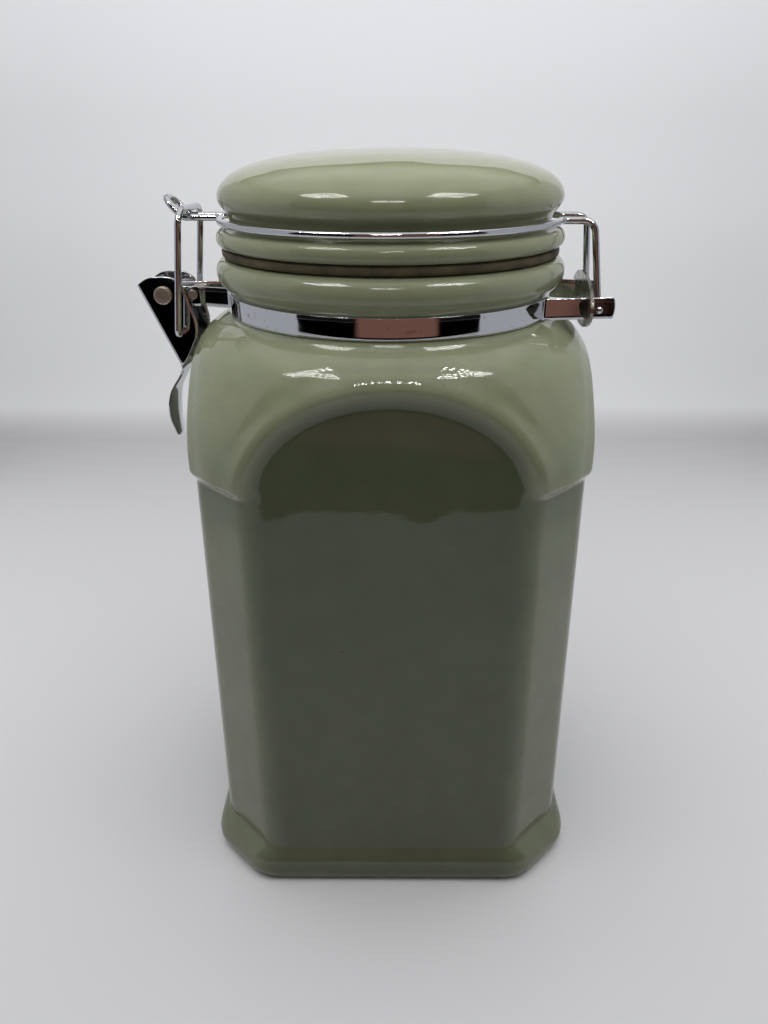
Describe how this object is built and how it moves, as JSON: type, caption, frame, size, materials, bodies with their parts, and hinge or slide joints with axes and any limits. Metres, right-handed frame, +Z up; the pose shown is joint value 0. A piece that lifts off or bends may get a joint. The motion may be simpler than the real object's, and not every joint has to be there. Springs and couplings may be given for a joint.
{
  "type": "clamp-lid canister",
  "caption": "Square-bodied glazed ceramic storage canister with arched side panels and a domed lid held by a wire-bail toggle clamp.",
  "frame": {"origin": "centre of the flat foot, on the surface the jar stands on", "axes": "+Z up along the jar's axis; -Y is the panel that faces the front; the latch is on the -X side and the lid hinge on the +X side, turned 5 degrees about Z"},
  "size_m": [0.1667, 0.1394, 0.2568],
  "materials": {
    "glaze": "glossy sage green glaze",
    "lid_glaze": "glossy sage green glaze",
    "gasket_rubber": "aged matt rubber",
    "band_chrome": "bright nickel plate on strip",
    "wire_chrome": "bright chrome plate on wire",
    "plate_steel": "dull plated steel",
    "rivet_steel": "turned plated steel"
  },
  "bodies": {
    "jar": {"jar_body": "glaze", "front_half_band": "band_chrome", "rear_half_band": "band_chrome", "keeper_plate": "plate_steel", "lever_rivet": "rivet_steel", "arm_spacer": "rivet_steel"},
    "lid_bail": {"lid_wire": "wire_chrome"},
    "lid": {"lid": "lid_glaze", "gasket": "gasket_rubber"},
    "lever": {"latch_lever": "band_chrome"},
    "link": {"latch_link": "wire_chrome"}
  },
  "joints": [
    {"name": "lid_hinge", "type": "hinge", "parent": "jar", "child": "lid_bail", "pos_m": [0.06953, -0.00608, 0.2086], "axis": [0.0872, 0.9962, 0], "range_deg": [0, 180]},
    {"name": "lid_turn", "type": "hinge", "parent": "lid_bail", "child": "lid", "pos_m": [0, 0, 0.2353], "axis": [0, 0, 1], "continuous": true},
    {"name": "lever_pivot", "type": "hinge", "parent": "jar", "child": "lever", "pos_m": [-0.0796, 0.00696, 0.2096], "axis": [0.0872, 0.9962, 0], "range_deg": [0, 108]},
    {"name": "link_pivot", "type": "hinge", "parent": "lever", "child": "link", "pos_m": [-0.07402, 0.00648, 0.1968], "axis": [0.0872, 0.9962, 0], "range_deg": [-150, 0]}
  ],
  "couplings": [
    {"joint": "lever_pivot", "follows": "lid_hinge", "ratio": 0.6},
    {"joint": "link_pivot", "follows": "lid_hinge", "ratio": -0.8333}
  ]
}
